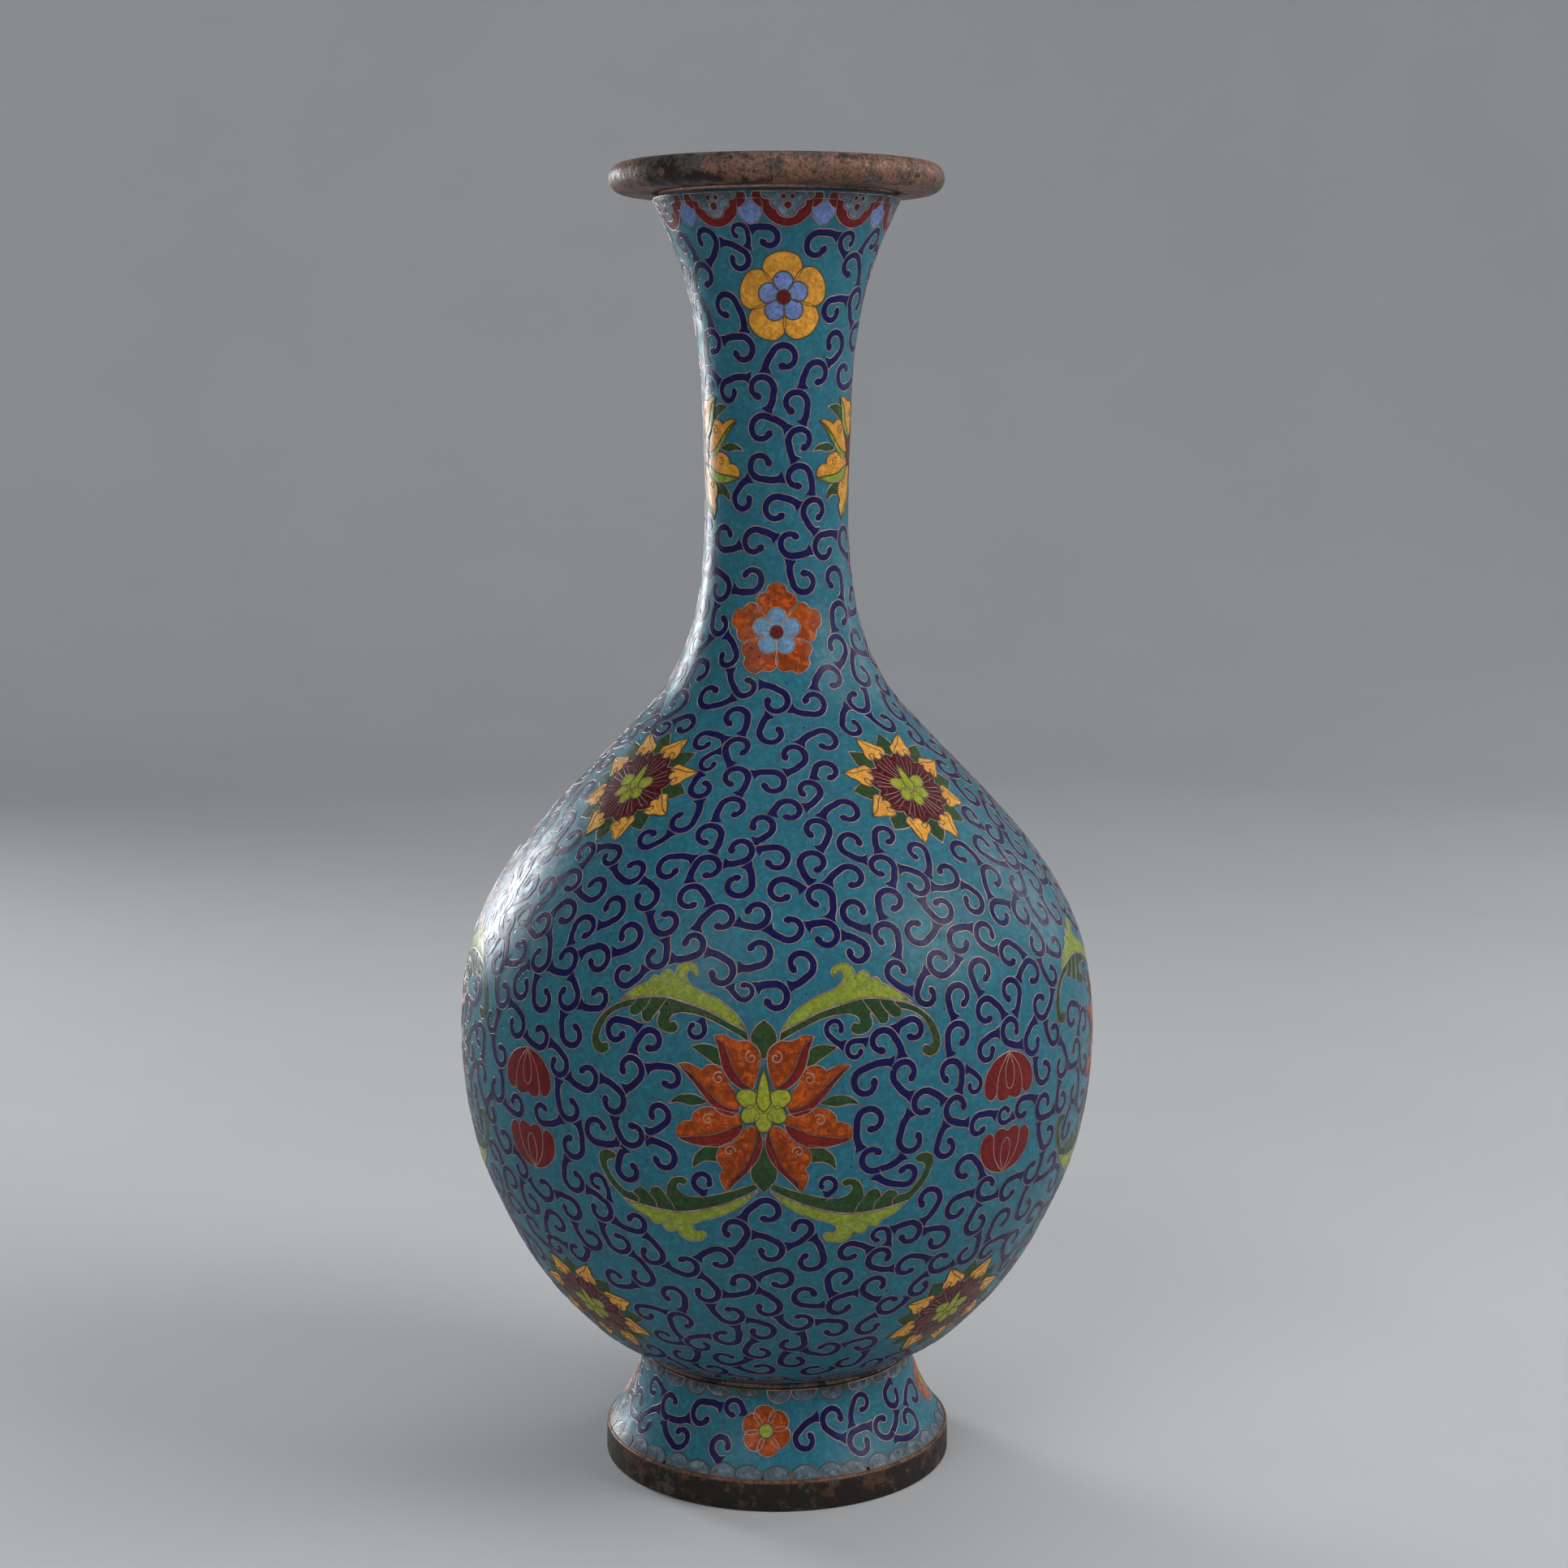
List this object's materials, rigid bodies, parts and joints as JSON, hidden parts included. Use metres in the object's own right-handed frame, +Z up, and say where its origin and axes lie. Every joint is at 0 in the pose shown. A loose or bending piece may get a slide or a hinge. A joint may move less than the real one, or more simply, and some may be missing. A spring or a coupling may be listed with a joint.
{
  "type": "cloisonne vase",
  "caption": "Bottle vase with a round belly, slender flared neck, rolled lip and flared foot; sheet metal body under enamel scroll and lotus inlays.",
  "frame": {"origin": "centre of the foot, on the plane that the vase stands on", "axes": "+Z up along the vase's axis; the front lotus faces -Y and +X is to its right"},
  "size_m": [0.1966, 0.1966, 0.4],
  "materials": {
    "copper_dark": "aged copper, dark brown",
    "copper_worn": "aged copper, worn bright on its edges",
    "enamel_turquoise": "polished enamel, satin",
    "enamel_pale_blue": "polished enamel, satin",
    "enamel_brick_red": "polished enamel, satin",
    "enamel_orange": "polished enamel, satin",
    "enamel_maroon": "polished enamel, satin",
    "enamel_yellow": "polished enamel, satin",
    "enamel_leaf_green": "polished enamel, satin"
  },
  "bodies": {
    "root": {"lower_body_shell": "copper_dark", "upper_body_shell": "copper_dark", "neck_shell": "copper_dark", "foot_shell": "copper_dark", "base_plate": "copper_dark", "junction_ring": "copper_dark", "foot_band": "copper_worn", "mouth_rim": "copper_worn", "enamel_body": "enamel_turquoise", "enamel_neck": "enamel_turquoise", "enamel_foot": "enamel_turquoise", "foot_lower_border": "enamel_pale_blue", "foot_upper_border": "enamel_pale_blue", "rim_lappets": "enamel_pale_blue", "front_lotus": "enamel_orange", "front_leaf_upper_left": "enamel_leaf_green", "front_leaf_upper_right": "enamel_leaf_green", "front_leaf_lower_left": "enamel_leaf_green", "front_leaf_lower_right": "enamel_leaf_green", "right_lotus": "enamel_orange", "right_leaf_upper_left": "enamel_leaf_green", "right_leaf_upper_right": "enamel_leaf_green", "right_leaf_lower_left": "enamel_leaf_green", "right_leaf_lower_right": "enamel_leaf_green", "back_lotus": "enamel_orange", "back_leaf_upper_left": "enamel_leaf_green", "back_leaf_upper_right": "enamel_leaf_green", "back_leaf_lower_left": "enamel_leaf_green", "back_leaf_lower_right": "enamel_leaf_green", "left_lotus": "enamel_orange", "left_leaf_upper_left": "enamel_leaf_green", "left_leaf_upper_right": "enamel_leaf_green", "left_leaf_lower_left": "enamel_leaf_green", "left_leaf_lower_right": "enamel_leaf_green", "front_right_shoulder_lotus": "enamel_maroon", "front_right_lower_lotus": "enamel_maroon", "front_right_upper_bud": "enamel_brick_red", "front_right_lower_bud": "enamel_brick_red", "front_right_foot_flower": "enamel_orange", "back_right_shoulder_lotus": "enamel_maroon", "back_right_lower_lotus": "enamel_maroon", "back_right_upper_bud": "enamel_brick_red", "back_right_lower_bud": "enamel_brick_red", "back_right_foot_flower": "enamel_orange", "back_left_shoulder_lotus": "enamel_maroon", "back_left_lower_lotus": "enamel_maroon", "back_left_upper_bud": "enamel_brick_red", "back_left_lower_bud": "enamel_brick_red", "back_left_foot_flower": "enamel_orange", "front_left_shoulder_lotus": "enamel_maroon", "front_left_lower_lotus": "enamel_maroon", "front_left_upper_bud": "enamel_brick_red", "front_left_lower_bud": "enamel_brick_red", "front_left_foot_flower": "enamel_orange", "front_yellow_flower": "enamel_yellow", "front_orange_flower": "enamel_orange", "back_yellow_flower": "enamel_yellow", "back_orange_flower": "enamel_orange", "right_neck_lotus": "enamel_yellow", "left_neck_lotus": "enamel_yellow"}
  },
  "joints": []
}
